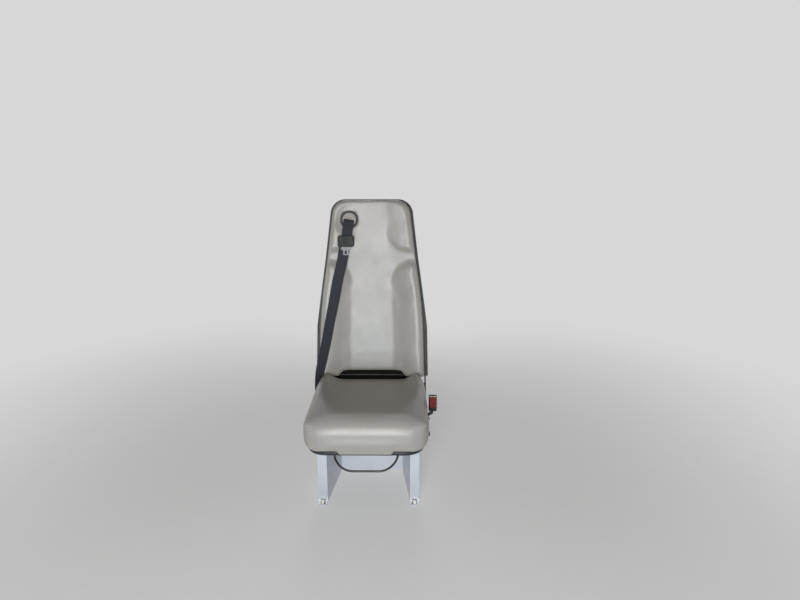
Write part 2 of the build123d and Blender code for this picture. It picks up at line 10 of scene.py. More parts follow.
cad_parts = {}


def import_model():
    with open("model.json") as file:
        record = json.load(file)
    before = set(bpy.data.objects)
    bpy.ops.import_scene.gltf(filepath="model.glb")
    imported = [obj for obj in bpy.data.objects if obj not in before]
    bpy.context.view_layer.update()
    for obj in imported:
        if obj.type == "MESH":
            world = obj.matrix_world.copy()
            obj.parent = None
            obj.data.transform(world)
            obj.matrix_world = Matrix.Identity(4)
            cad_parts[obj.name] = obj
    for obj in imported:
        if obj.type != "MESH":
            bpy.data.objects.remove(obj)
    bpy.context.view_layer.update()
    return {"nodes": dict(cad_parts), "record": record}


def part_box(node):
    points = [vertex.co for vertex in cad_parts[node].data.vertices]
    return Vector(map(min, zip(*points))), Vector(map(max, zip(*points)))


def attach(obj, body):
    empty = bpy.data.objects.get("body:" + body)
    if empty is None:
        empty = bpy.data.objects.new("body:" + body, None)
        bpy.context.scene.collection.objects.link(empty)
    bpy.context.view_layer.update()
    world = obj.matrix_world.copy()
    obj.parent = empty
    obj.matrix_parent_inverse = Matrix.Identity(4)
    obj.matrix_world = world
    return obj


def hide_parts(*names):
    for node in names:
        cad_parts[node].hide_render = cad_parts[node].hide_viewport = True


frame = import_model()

nodes = frame["nodes"]

# Camera of the photograph, in the seat's frame
camera_place = (0.1428, -2.205, 1.395)
camera_drop = 14.08           # degrees below level
camera_turn = 0.35            # degrees to the left of +Y
camera_focal = 561            # in pixels of a frame 800 wide

# Back: a plane leaning on the seat, with x across, s up the back and n out of its face
back_foot_y = 0.175
back_foot_z = 0.460
recline = radians(9.0)
back_up = Vector((0, sin(recline), cos(recline)))
back_out = Vector((0, -cos(recline), sin(recline)))
pad_depth = 0.060
rest_gap = 0.0003                 # between a soft piece and what it lies on

# Belt
web_width = 0.0465
web_thickness = 0.0014
belt_crown = 0.12                 # the edges are thinner by this share
ripples = ((0.0002, 0.011, 0), (0.0002, 0.029, 1))    # height, length and start of each wave
guide_place = (-0.098, 0.686)     # x and s
guide_radius = 0.038
guide_depth = 0.014               # the ring sits this far into the pad
tongue_place = (-0.112, 0.590)
tongue_level = 0.0038
shoulder_count = 60               # rings of points along each belt
lap_count = 230
shoulder_run = (                  # along the belt from the guide's slot, and out of the back
    (0, -0.026), (0, -0.012), (0.006, -0.0035), (0.022, 0.0002), (0.050, 0.0030),
    (0.090, tongue_level))
lap_run = (                       # x, s, n and the belt's turn in degrees
    (-0.1150, 0.590, 0.0038, 0),
    (-0.1285, 0.507, 0.0036, 2),
    (-0.1490, 0.418, 0.0040, 8),
    (-0.1655, 0.329, 0.0045, 16),
    (-0.1840, 0.239, 0.0060, 23),
    (-0.2005, 0.149, 0.0095, 27),
    (-0.2195, 0.059, 0.0140, 32),
    (-0.2320, 0.000, 0.0175, 42),
)
anchor_lap = 0.020                # the belt's end lies this far down the anchor
stitch_margin = 0.010             # belt left free beside the stitching, both sides together
stitch_height = 0.024
stitch_foot = 0.004               # stitching's lower edge under the anchor's top
stitch_pitch = 0.0030
stitch_share = 0.72               # of the pitch that thread covers
stitch_radius = 0.00035

# Pads
cushion_voxel = 0.006
back_voxel = 0.007
cushion_ease = 2              # rounds that ease the remeshed form
back_ease = 3
pad_shrink = 0.0010
swell_cap = 0.005             # how far a point may move
sink_cap = 0.0                # how much of that may be inwards
even_rounds = 14              # rounds that spread the swelling over its surroundings
cloth_steps = 20
cloth = dict(quality=5, mass=0.4, tension_stiffness=12, compression_stiffness=12,
             shear_stiffness=6, bending_stiffness=1.5, use_pressure=True,
             uniform_pressure_force=4)

# Cushion. A pair is where a change begins and how far on it is complete.
cushion_fill = 0.9
cushion_held = 0.004          # points this near the pan are held
corner_x, corner_front, corner_level = (0.13, 0.05), (-0.15, 0.08), (0.335, 0.03)
corner_rounds = 26            # rounds that ease the front corners
shoulder_push = 0.006         # the side bolsters stand out this much more
shoulder_x = (0.19, 0.03)
upper_level, upper_rear = (0.385, 0.04), (0.16, 0.10)      # along the top of the sides
lower_level, lower_rear = (0.325, 0.03), (-0.12, 0.07)     # and further down at the front
roll_rim = (                  # |x| and y where the front roll begins to fall
    (0.0, -0.222), (0.112, -0.216), (0.150, -0.174), (0.186, -0.106), (0.208, 0.0),
    (0.222, 0.124), (0.260, 0.200))
roll_fall = 0.7               # fall ahead of the rim, per metre squared
roll_drop = 0.009             # the most that it falls
roll_level = (0.33, 0.12)     # the fall reaches its whole towards the top
top_level = (0.07, 0.03)      # above the pan, where the folds begin
fold_stretch = (2.2, 0.8, 1)  # folds run mostly fore and aft
fold_size, fold_height, fold_everywhere = 0.030, 0.0020, 0.12
fold_place = ((0.19, 0.035), (0.11, 0.045))    # middle and spread in |x| and y, where deeper
raised_height = 0.0085        # the rear corners stand up this much
raised_x, raised_rear = (0.195, 0.045), (0.02, 0.13)       # the first is a middle and a spread
sides_x, sides_level = (0.20, 0.04), (0.09, 0.05)          # the second is above the pan
sides_pull, sides_wave = 0.0015, 0.47          # how far the sides draw in, and the wave's length
flap_half_width = 0.102
flap_foot = 0.3172            # lower edge of the cover's flap over the pan's front
flap_height = 0.014           # its upper edge, above the pan
flap_rear, flap_face = -0.2955, -0.3020        # what lies ahead of the first goes to the second
flap_blend = 0.008            # width of the step at its ends
flap_slack = 0.002            # the flap is at its lowest this far above the pan's top

# Back. The head's and body's bolsters stand apart, with a shallow gap between them.
back_fill = 0.85
back_middle = 0.378           # s about which the pad is drawn in
plug_sink, plug_short = 0.004, 0.010    # the guide's plug lies deeper, and is shorter
back_held = 0.006             # points this near the board are held
foot_share = 0.25             # share of the swelling at the lower edge
foot_free = (0.01, 0.09)      # s where it reaches the whole
foot_drop = 0.008             # the cover's lower edge hangs this far under the pad's
foot_span = (0.070, 0.055)    # s over which that drop comes in
arch_more, arch_x = 0.6, (0.140, 0.020)        # it hangs lower still inside the arch
crown_cap = 0.0020            # how far the cover stands out of the pad's face
head_crest = 0.0015           # level of the bolsters beside the hollow
head_form = (                 # s, half width of floor and rim, depth of the hollow
    (0.430, 0.092, 0.186, 0.0290), (0.488, 0.084, 0.180, 0.0240),
    (0.548, 0.074, 0.164, 0.0190), (0.600, 0.068, 0.158, 0.0155),
    (0.690, 0.067, 0.156, 0.0125), (0.757, 0.069, 0.122, 0.0090))
head_start = (0.430, 0.050)   # s where this form takes over from the CAD's
head_open = 0.742             # above this s the hollow only lowers the face
head_front_limit = -0.040     # points behind this level belong to the pad's sides
gap_above = ((0.070, 0.600), (0.090, 0.572), (0.120, 0.550), (0.170, 0.541))
gap_below = (                 # |x| and s of the gap's upper and lower edge
    (0.085, 0.410), (0.100, 0.457), (0.115, 0.487), (0.145, 0.508), (0.170, 0.515))
gap_ramps = (0.022, 0.045)    # how far beyond those edges the bolsters are at full height
gap_rise = 0.007              # the gap's floor climbs this much towards the sides
face_level = (-0.045, 0.010)  # what lies ahead of this is smoothed
face_rounds = 3
hollow_more = 0.0045          # the swollen hollow is cut this much deeper again
hollow_level, hollow_rear = (-0.004, 0.020), (-0.050, 0.006)    # between these two levels
back_fold_level = (-0.045, 0.015)
back_fold_size, back_fold_height, back_fold_stretch = 0.045, 0.0012, 0.6
dimple_front = -0.045         # the dimple round the belt guide works ahead of this level
dimple_rim = 0.0040           # the cover meets the ring this far above its seat
dimple_lip = 0.042            # the dimple runs out over this width
dimple_floor = 0.009          # the cover under the ring lies this far below its seat

# Flap between cushion and back
gap_flap_half_width, gap_flap_thickness = 0.215, 0.0022
gap_flap_profile = (          # y and z down the flap
    (0.2340, 0.4305), (0.2180, 0.4270), (0.1990, 0.4180), (0.1850, 0.4050),
    (0.1770, 0.3900), (0.1750, 0.3720))
gap_flap_columns, gap_flap_rows = 60, 20
gap_flap_wave, gap_flap_waves = 0.0012, 40     # height, and radians per metre

# Fasteners
bolt_x, bolt_y, foot_top = 0.191, 0.141, 0.005
floor_flats, plate_flats, bracket_flats = 0.017, 0.010, 0.013
plate_x, plate_y = 0.120, 0.100
panel_rivet_x, panel_rivet_z = 0.132, (0.06, 0.13, 0.20)
strip_rivet_x, strip_rivet_z, strip_sheet = (-0.11, 0, 0.11), 0.022, 0.004
rivet_radius, screw_radius = 0.0055, 0.0060
dome_turn, dome_points = 1.25, 7        # radians from the rim to the recess
dome_rise = 0.5                         # of the radius
dome_recess = ((0.30, 0.44), (0.26, 0.25))    # radius and height, as shares of the radius
bracket_bolt_y = 0.120
stalk_sheet = 0.004           # the buckle's strap under its bolt
stalk_bolt_y = (0.0, -0.004)  # left and right
shell_screw_places = ((0.17, 0.06), (0.165, 0.34), (0.13, 0.66))    # x and s
washer_share = 1.5            # of the hexagon's width
washer_edge, washer_height, boss_height = 0.0014, 0.0018, 0.0003

# Studio
backdrop = (0.68, 0.68, 0.68, 1)
floor_reach = 14
fade_start, fade_end, fade_least = 0.7, 3.2, 0.4    # where and from what the floor fades
ambient = 0.09


# Places

def on_back(x, s, n):
    """Place in the seat's frame of a place on the back."""
    return Vector((x, back_foot_y, back_foot_z)) + back_up * s + back_out * n


def to_back(co):
    """Arrays x, s, n of points given as rows."""
    d = co - np.array((0, back_foot_y, back_foot_z))
    return co[:, 0], d @ np.array(back_up), d @ np.array(back_out)


def from_back(x, s, n):
    """Rows of points from arrays x, s, n."""
    foot = np.array((0, back_foot_y, back_foot_z))
    rows = foot + np.outer(s, back_up) + np.outer(n, back_out)
    rows[:, 0] = x
    return rows


def smooth_step(t):
    """Nought below nought, one above one, and a smooth run between."""
    t = np.clip(t, 0, 1)
    return t * t * (3 - 2 * t)


def above(value, start, length):
    """Weight that grows from nought at a start to one further up."""
    return smooth_step((value - start) / length)


def below(value, start, length):
    """Weight that grows from nought at a start to one further down."""
    return smooth_step((start - value) / length)


def hump(value, middle, spread):
    """Exponent of a bell-shaped weight."""
    return -((value - middle) / spread) ** 2


def new_object(name, mesh, body, smooth=True):
    """A piece in the scene that rides on a body."""
    ob = bpy.data.objects.new(name, mesh)
    bpy.context.scene.collection.objects.link(ob)
    mesh.polygons.foreach_set("use_smooth", [smooth] * len(mesh.polygons))
    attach(ob, body)
    return ob


def made_piece(name, bm, look, body, smooth=True):
    """A piece from a bmesh, with its finish."""
    mesh = bpy.data.meshes.new(name)
    bm.to_mesh(mesh)
    bm.free()
    mesh.materials.append(look)
    return new_object(name, mesh, body, smooth)


# Materials

class Shader:
    """A Principled material with short calls for the nodes that feed it."""

    def __init__(self, name, **sockets):
        self.material = bpy.data.materials.new(name)
        self.material.use_nodes = True
        self.tree = self.material.node_tree
        self.bsdf = self.tree.nodes["Principled BSDF"]
        for key, value in sockets.items():
            self.bsdf.inputs[key.replace("_", " ")].default_value = value
        self.object_coords = self.node("ShaderNodeTexCoord").outputs["Object"]

    def node(self, kind, inputs=None, **settings):
        made = self.tree.nodes.new(kind)
        for key, value in settings.items():
            setattr(made, key, value)
        for key, value in (inputs or {}).items():
            self.feed(made.inputs[key], value)
        return made

    def feed(self, socket, value):
        if isinstance(value, bpy.types.NodeSocket):
            self.tree.links.new(value, socket)
        else:
            socket.default_value = value

    def stretched(self, scale):
        """Coordinates scaled by their own factor along each axis."""
        return self.node("ShaderNodeMapping", {
            "Vector": self.object_coords, "Scale": scale}).outputs["Vector"]

    def noise(self, scale, detail=3, rough=0.5, coords=None):
        return self.node("ShaderNodeTexNoise", {
            "Vector": coords or self.object_coords, "Scale": scale, "Detail": detail,
            "Roughness": rough}).outputs["Fac"]

    def cells(self, scale, feature="F1"):
        return self.node("ShaderNodeTexVoronoi", {
            "Vector": self.object_coords, "Scale": scale}, feature=feature).outputs["Distance"]

    def ramp(self, value, *stops):
        """Colour ramp of (place, colour) stops."""
        made = self.node("ShaderNodeValToRGB", {"Fac": value})
        ramp = made.color_ramp
        while len(ramp.elements) < len(stops):
            ramp.elements.new(1.0)
        for element, (place, colour) in zip(ramp.elements, stops):
            element.position = place
            element.color = (*colour, 1) if len(colour) == 3 else colour
        return made.outputs["Color"]

    def levels(self, value, low, high, out_low, out_high):
        """Value stretched from one range to another and kept inside it."""
        return self.node("ShaderNodeMapRange", {
            "Value": value, "From Min": low, "From Max": high,
            "To Min": out_low, "To Max": out_high}).outputs["Result"]

    def math(self, operation, a, b):
        return self.node("ShaderNodeMath", {0: a, 1: b}, operation=operation).outputs[0]

    def blend(self, factor, a, b, kind="MIX"):
        """Mix of two colours."""
        made = self.node("ShaderNodeMix", data_type="RGBA", blend_type=kind)
        for index, value in ((0, factor), (6, a), (7, b)):
            self.feed(made.inputs[index], value)
        return made.outputs[2]

    def colour(self, value):
        self.feed(self.bsdf.inputs["Base Color"], value)

    def roughness(self, value):
        self.feed(self.bsdf.inputs["Roughness"], value)

    def bump(self, height, distance, strength=1.0, under=None):
        """Bump over any bump already there; its output goes to the surface."""
        inputs = {"Height": height, "Distance": distance, "Strength": strength}
        if under is not None:
            inputs["Normal"] = under
        out = self.node("ShaderNodeBump", inputs).outputs["Normal"]
        self.feed(self.bsdf.inputs["Normal"], out)
        return out


def vinyl():
    """Moulded light grey-beige vinyl with fine leather grain, soft folds and light soil."""
    m = Shader("vinyl", Roughness=0.34, Specular_IOR_Level=0.68)
    clean = m.blend(m.noise(3.2, 4), (0.310, 0.292, 0.268, 1), (0.350, 0.330, 0.304, 1))
    soil = m.ramp(m.noise(7.5, 6, 0.62), (0.50, (0, 0, 0)), (0.72, (1, 1, 1)))
    worn = m.blend(m.math("MULTIPLY", soil, 0.20), clean, (0.240, 0.219, 0.193, 1))
    specks = m.ramp(m.noise(38, 2, 0.4), (0.70, (0, 0, 0)), (0.78, (1, 1, 1)))
    marked = m.blend(m.math("MULTIPLY", specks, 0.16), worn, (0.196, 0.178, 0.157, 1))
    pores = m.cells(760, "DISTANCE_TO_EDGE")
    grain = m.ramp(pores, (0.0, (0, 0, 0)), (0.16, (1, 1, 1)))
    shaded = m.blend(0.10, marked, grain, "MULTIPLY")
    m.colour(shaded)
    m.roughness(m.levels(m.noise(11, 5), 0.3, 0.7, 0.30, 0.40))
    folds = m.bump(m.noise(26, 3, 0.45), 0.0007, 0.35)
    m.bump(grain, 0.00012, 0.55, folds)
    return m.material


def aluminium():
    """Folded sheet with a fine rolled grain, faint scratches and a dull bloom."""
    m = Shader("aluminium", Metallic=1.0, Roughness=0.50)
    bloom = m.noise(5.5, 4)
    m.colour(m.blend(bloom, (0.52, 0.545, 0.585, 1), (0.66, 0.68, 0.71, 1)))
    rolled = m.noise(60, 4, 0.6, m.stretched((14, 14, 0.35)))
    scratch = m.ramp(m.noise(34, 3, 0.5, m.stretched((1.0, 6.0, 3.5))),
                     (0.68, (0, 0, 0)), (0.73, (1, 1, 1)))
    base = m.levels(m.math("ADD", rolled, m.noise(9, 3)), 0.7, 1.3, 0.44, 0.58)
    m.roughness(m.math("ADD", base, m.math("MULTIPLY", scratch, 0.12)))
    lines = m.bump(rolled, 0.00006, 0.5)
    m.bump(scratch, 0.00005, 0.4, lines)
    return m.material


def powder_coat():
    """Black powder coat with a fine orange peel and rubbed patches."""
    m = Shader("black_steel", Roughness=0.42, Specular_IOR_Level=0.5)
    rubbed = m.ramp(m.noise(18, 5, 0.6), (0.55, (0, 0, 0)), (0.75, (1, 1, 1)))
    m.colour(m.blend(m.math("MULTIPLY", rubbed, 0.35), (0.014, 0.014, 0.016, 1),
                     (0.050, 0.050, 0.052, 1)))
    m.roughness(m.levels(m.noise(30, 3), 0.3, 0.7, 0.34, 0.52))
    m.bump(m.noise(900, 2, 0.5), 0.00010, 0.5)
    return m.material


def plated_steel(name, low, high, rough, along):
    """Zinc plated or brushed steel whose grain runs along one axis."""
    m = Shader(name, Metallic=1.0, Roughness=rough)
    grain = m.noise(120, 3, 0.6, m.stretched(along))
    m.colour(m.blend(m.noise(22, 4), (*low, 1), (*high, 1)))
    m.roughness(m.levels(m.math("ADD", grain, m.noise(40, 2)), 0.7, 1.3,
                         rough - 0.07, rough + 0.12))
    m.bump(grain, 0.00005, 0.4)
    return m.material


def moulded(name, dark, pale, rough, stipple=1400, depth=0.00012, specular=0.42):
    """Moulded plastic with an even stipple and slight tone changes."""
    m = Shader(name, Roughness=rough, Specular_IOR_Level=specular)
    m.colour(m.blend(m.noise(14, 4), (*dark, 1), (*pale, 1)))
    m.roughness(m.levels(m.noise(48, 4), 0.3, 0.7, rough - 0.07, rough + 0.08))
    m.bump(m.cells(stipple), depth, 0.5)
    return m.material


def webbing():
    """Woven belt: ribs across and columns along it, from the strap's own metres."""
    m = Shader("webbing", Roughness=0.72, Specular_IOR_Level=0.3, Sheen_Weight=0.12,
               Sheen_Roughness=0.4)
    uv = m.node("ShaderNodeTexCoord").outputs["UV"]
    parts = m.node("ShaderNodeSeparateXYZ", {"Vector": uv})
    across, along = parts.outputs["X"], parts.outputs["Y"]
    column_width, rib_length = 0.0058, 0.0016
    turns = m.math("MULTIPLY", across, 2 * pi / column_width)
    column = m.math("ABSOLUTE", m.math("SINE", turns, 0), 0)
    slant = m.math("ADD", m.math("MULTIPLY", along, 2 * pi / rib_length),
                   m.math("MULTIPLY", column, 2.4))
    rib = m.math("ADD", m.math("MULTIPLY", m.math("SINE", slant, 0), 0.5), 0.5)
    weave = m.math("MULTIPLY", m.math("ADD", rib, m.math("MULTIPLY", column, 0.8)), 0.55)
    tone = m.blend(weave, (0.012, 0.013, 0.018, 1), (0.032, 0.034, 0.046, 1))
    fuzz = m.noise(420, 2)
    m.colour(m.blend(m.math("MULTIPLY", fuzz, 0.25), tone, (0.044, 0.046, 0.060, 1)))
    edge = m.math("GREATER_THAN", m.math("ABSOLUTE", across, 0), web_width / 2 - 0.0030)
    height = m.math("ADD", weave, m.math("MULTIPLY", edge, 0.5))
    m.bump(height, 0.00035, 0.8)
    return m.material


def red_button():
    """Glossy red push button with a faint mould texture and finger wear."""
    m = Shader("button_red", Roughness=0.24, Specular_IOR_Level=0.5)
    m.colour(m.blend(m.noise(60, 3), (0.13, 0.004, 0.008, 1), (0.20, 0.008, 0.012, 1)))
    m.roughness(m.levels(m.noise(140, 3), 0.3, 0.7, 0.20, 0.36))
    m.bump(m.noise(500, 2), 0.00008, 0.3)
    return m.material


def thread():
    """Belt stitching, a shade lighter than the belt."""
    m = Shader("belt_thread", Roughness=0.6, Sheen_Weight=0.2)
    m.colour(m.blend(m.noise(900, 2), (0.080, 0.083, 0.095, 1), (0.140, 0.143, 0.155, 1)))
    m.bump(m.noise(2600, 1), 0.0001, 0.5)
    return m.material


looks = {
    "vinyl": vinyl(),
    "aluminium": aluminium(),
    "black_steel": powder_coat(),
    "rail_steel": plated_steel("rail_steel", (0.42, 0.42, 0.40), (0.56, 0.55, 0.52), 0.36,
                               (6, 0.4, 6)),
    "shell_plastic": moulded("shell_plastic", (0.013, 0.013, 0.015), (0.024, 0.024, 0.026),
                             0.56, 900, 0.00018),
    # The board shows only in the arch gap behind the cushion; its near-black tone is partly its
    # own black paint and partly painted shade of that gap.
    "board": moulded("board", (0.004, 0.004, 0.0045), (0.008, 0.008, 0.0085), 0.80,
                     specular=0.12),
    "glide_plastic": moulded("glide_plastic", (0.045, 0.045, 0.045), (0.075, 0.075, 0.075),
                             0.45),
    "guide_plastic": moulded("guide_plastic", (0.009, 0.009, 0.010), (0.018, 0.018, 0.019),
                             0.52),
    "guide_insert": moulded("guide_insert", (0.250, 0.240, 0.220), (0.320, 0.308, 0.285),
                            0.50),
    "webbing": webbing(),
    "bright_steel": plated_steel("bright_steel", (0.20, 0.20, 0.21), (0.28, 0.28, 0.29), 0.66,
                                 (5, 5, 0.6)),
    "buckle_plastic": moulded("buckle_plastic", (0.006, 0.006, 0.0065),
                              (0.012, 0.012, 0.0125), 0.62),
    "button_red": red_button(),
}
fastener_steel = plated_steel("fastener_steel", (0.44, 0.43, 0.41), (0.58, 0.57, 0.55), 0.42,
                              (3, 3, 3))
thread_look = thread()
# Near-black apron for the gap behind the cushion: partly its own black, partly painted shade
# deep in that gap.
apron_and_painted_shade = moulded("apron", (0.003, 0.003, 0.0035), (0.006, 0.006, 0.0065), 0.85, 700,
                     0.0002, 0.12)

for part in frame["record"]["subparts"]:
    ob = nodes[part["node"]]
    ob.data.materials.clear()
    ob.data.materials.append(looks[part["material_slot"]])


# Pads

def read_points(mesh):
    """The mesh's points as rows of x, y, z."""
    co = np.empty(len(mesh.vertices) * 3)
    mesh.vertices.foreach_get("co", co)
    return co.reshape(-1, 3)


def write_points(mesh, co):
    """Moves the mesh's points to the places in rows."""
    mesh.vertices.foreach_set("co", co.ravel())
    mesh.update()


def baked(ob):
    """Applies the object's modifiers to its mesh and takes them off."""
    view = bpy.context.evaluated_depsgraph_get()
    view.update()
    mesh = bpy.data.meshes.new_from_object(ob.evaluated_get(view))
    ob.modifiers.clear()
    old, ob.data = ob.data, mesh
    bpy.data.meshes.remove(old)


def drawn_in(node, name, keep):
    """Copy of a CAD pad, made a little smaller about a kept point."""
    mesh = nodes[node].data.copy()
    mesh.materials.clear()
    co = read_points(mesh)
    size = co.max(0) - co.min(0)
    write_points(mesh, keep + (co - keep) * (1 - 2 * pad_shrink / size))
    ob = bpy.data.objects.new(name, mesh)
    bpy.context.scene.collection.objects.link(ob)
    return ob


def cut_even(ob, voxel, rounds):
    """Cuts a pad into even faces and eases it."""
    even = ob.modifiers.new("even", "REMESH")
    even.mode = "VOXEL"
    even.voxel_size = voxel
    ease = ob.modifiers.new("ease", "SMOOTH")
    ease.factor = 0.5
    ease.iterations = rounds
    baked(ob)


def evened(mesh, rows, rounds):
    """Rows of numbers of a mesh's points, averaged with those of their neighbours."""
    ends = np.empty(len(mesh.edges) * 2, np.int64)
    mesh.edges.foreach_get("vertices", ends)
    a, b = ends.reshape(-1, 2).T
    count = np.maximum(np.bincount(ends, minlength=len(rows)), 1)[:, None]
    for _ in range(rounds):
        total = np.zeros_like(rows)
        for column in range(rows.shape[1]):
            total[:, column] = (np.bincount(a, rows[b, column], len(rows))
                                + np.bincount(b, rows[a, column], len(rows)))
        rows = (rows + total / count) / 2
    return rows


def swell(ob, held, share):
    """Blows the pad up as cloth over foam. Each point keeps its share of the motion."""
    start = read_points(ob.data)
    normals = np.empty(start.size)
    ob.data.vertices.foreach_get("normal", normals)
    normals = normals.reshape(-1, 3)
    group = ob.vertex_groups.new(name="held")
    group.add([int(i) for i in np.flatnonzero(held)], 1.0, "REPLACE")
    sheet = ob.modifiers.new("cloth", "CLOTH")
    for key, value in cloth.items():
        setattr(sheet.settings, key, value)
    sheet.settings.effector_weights.gravity = 0
    sheet.settings.vertex_group_mass = "held"
    sheet.point_cache.frame_end = cloth_steps + 4
    for step in range(1, cloth_steps + 1):
        bpy.context.scene.frame_set(step)
    baked(ob)
    ob.vertex_groups.clear()
    bpy.context.scene.frame_set(1)
    moved = read_points(ob.data) - start
    outward = (moved * normals).sum(1, keepdims=True)
    moved += normals * (np.maximum(outward, -sink_cap) - outward)
    length = np.maximum(np.linalg.norm(moved, axis=1, keepdims=True), 1e-9)
    moved = moved * np.minimum(1, swell_cap / length) * share[:, None]
    write_points(ob.data, start + evened(ob.data, moved, even_rounds))


def finish_pad(ob, fill, *replaced):
    """Material, a subdivision, the seat's body to ride on, and the CAD pads it replaces hidden.
    """
    ob.data.materials.append(looks["vinyl"])
    ob.data.polygons.foreach_set("use_smooth", [True] * len(ob.data.polygons))
    fine = ob.modifiers.new("fine", "SUBSURF")
    fine.levels = 1
    fine.render_levels = 1
    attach(ob, "seat")
    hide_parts(*replaced)


def wrinkles(co, where, size, height):
    """Low folds, the same each run, in the places that the weights name."""
    rows = np.array([noise.noise(Vector(p / size)) for p in co])
    return rows * height * where


def ease_corners(mesh, co):
    """Rounds the cushion's front corners."""
    x, y, z = co.T
    corner = above(np.abs(x), *corner_x) * below(y, *corner_front) * above(z, *corner_level)
    co += (evened(mesh, co, corner_rounds) - co) * corner[:, None]


def push_shoulders(co):
    """Fills out the cushion's side bolsters."""
    x, y, z = co.T
    upper = above(z, *upper_level) * below(y, *upper_rear)
    lower = above(z, *lower_level) * below(y, *lower_rear)
    shoulder = np.maximum(upper, lower) * above(np.abs(x), *shoulder_x)
    co[:, 0] += np.sign(x) * shoulder_push * shoulder


def drop_roll(co):
    """Lets the front roll fall away ahead of the dish."""
    x, y, z = co.T
    rim_x, rim_y = np.array(roll_rim).T
    ahead = np.maximum(np.interp(np.abs(x), rim_x, rim_y) - y, 0)
    drop = roll_drop * (1 - np.exp(-roll_fall / roll_drop * ahead ** 2))
    co[:, 2] -= drop * above(z, *roll_level)


def fold_top(co, pan_top):
    """Low folds in the cushion's top, deeper towards its raised rear corners."""
    x, y, z = co.T
    top = smooth_step((z - pan_top - top_level[0]) / top_level[1])
    at_x, at_y = fold_place
    deeper = np.exp(hump(np.abs(x), *at_x) + hump(y, *at_y))
    folds = wrinkles(co * np.array(fold_stretch), top * (fold_everywhere + deeper), fold_size,
                     fold_height)
    raised = np.exp(hump(np.abs(x), *raised_x)) * above(y, *raised_rear)
    co[:, 2] += folds + raised_height * raised * top


def draw_in_sides(co, pan_top, front):
    """The cushion's sides pull in and out between its corners."""
    x, y, z = co.T
    sides = above(np.abs(x), *sides_x) * below(z, pan_top + sides_level[0], sides_level[1])
    co[:, 0] -= np.sign(x) * sides_pull * sides * np.cos(2 * pi * (y - front) / sides_wave)


def hang_flap(co, pan_top):
    """Stretches the cover's front edge down over the pan between the skirt's two ends."""
    x, y, z = co.T
    top = pan_top + flap_height
    front_edge = (y < flap_rear) & (z < top)
    down = below(np.abs(x), flap_half_width + flap_blend / 2, flap_blend)
    stretch = np.clip((top - z) / (top - pan_top - flap_slack), 0, 1)
    lower = top - (top - flap_foot) * stretch
    co[:, 2] = np.where(front_edge, z + (lower - z) * down, z)
    co[:, 1] = np.where(front_edge & (down > 0.5), np.minimum(y, flap_face), y)


def seat_pad():
    """The cushion: a crowned form with raised sides, held flat where it rests on the pan."""
    low, high = (np.array(v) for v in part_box("seat_cushion"))
    pan_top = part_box("seat_pan")[1][2]
    foot = pan_top + rest_gap
    keep = np.array(((low[0] + high[0]) / 2, (low[1] + high[1]) / 2, foot))
    ob = drawn_in("seat_cushion", "seat_pad", keep)
    co = read_points(ob.data)
    co[:, 2] = np.maximum(co[:, 2], foot)
    write_points(ob.data, co)
    cut_even(ob, cushion_voxel, cushion_ease)
    co = read_points(ob.data)
    swell(ob, co[:, 2] < pan_top + cushion_held, np.ones(len(co)))
    co = read_points(ob.data)
    ease_corners(ob.data, co)
    push_shoulders(co)
    drop_roll(co)
    fold_top(co, pan_top)
    draw_in_sides(co, pan_top, low[1])
    co[:, 2] = np.maximum(co[:, 2], foot)
    hang_flap(co, pan_top)
    write_points(ob.data, co)
    finish_pad(ob, cushion_fill, "seat_cushion")


def plug_hole(ob):
    """Fills the guide's hole in the start shape below the ring's seat."""
    bm = bmesh.new()
    bm.from_mesh(ob.data)
    x, s = guide_place
    middle = on_back(x, s, (-pad_depth - guide_depth) / 2 - plug_sink)
    turn = Matrix.Rotation(pi / 2 - recline, 4, "X")
    bmesh.ops.create_cone(bm, cap_ends=True, segments=48, radius1=guide_radius,
                          radius2=guide_radius, depth=pad_depth - guide_depth - plug_short,
                          matrix=Matrix.Translation(middle) @ turn)
    bm.to_mesh(ob.data)
    bm.free()


def head_front(x, s, n):
    """Front of the upper back: a hollow open at the top, and a gap between the bolsters."""
    at, *columns = np.array(head_form).T
    flat, rim, depth = (np.interp(s, at, column) for column in columns)
    rise = np.clip((np.abs(x) - flat) / (rim - flat), 0, 1)
    target = head_crest - (depth + head_crest) * (1 - rise)
    inside = above(s, *head_start) * (n > head_front_limit) * (np.abs(x) < rim)
    lowered = np.minimum(n, target)
    n = np.where(s < head_open, n + (target - n) * inside, n + (lowered - n) * inside)
    upper, lower = (np.interp(np.abs(x), *np.array(rows).T) for rows in (gap_above, gap_below))
    lift = np.maximum(above(s, upper, gap_ramps[0]), below(s, lower, gap_ramps[1]))
    channel = gap_rise * rise - depth
    return np.where(n > channel, channel + (n - channel) * lift, n)


def guide_dimple(x, s, n):
    """Draws the cover down to the belt guide's ring, and flat beneath it."""
    reach = np.hypot(x - guide_place[0], s - guide_place[1])
    is_front = n > dimple_front
    rim = -guide_depth + dimple_rim
    lip = above(reach, guide_radius, dimple_lip)
    n = np.where(is_front & (reach > guide_radius), np.minimum(n, rim + (n - rim) * lip), n)
    return np.where(is_front & (reach <= guide_radius), -guide_depth - dimple_floor, n)


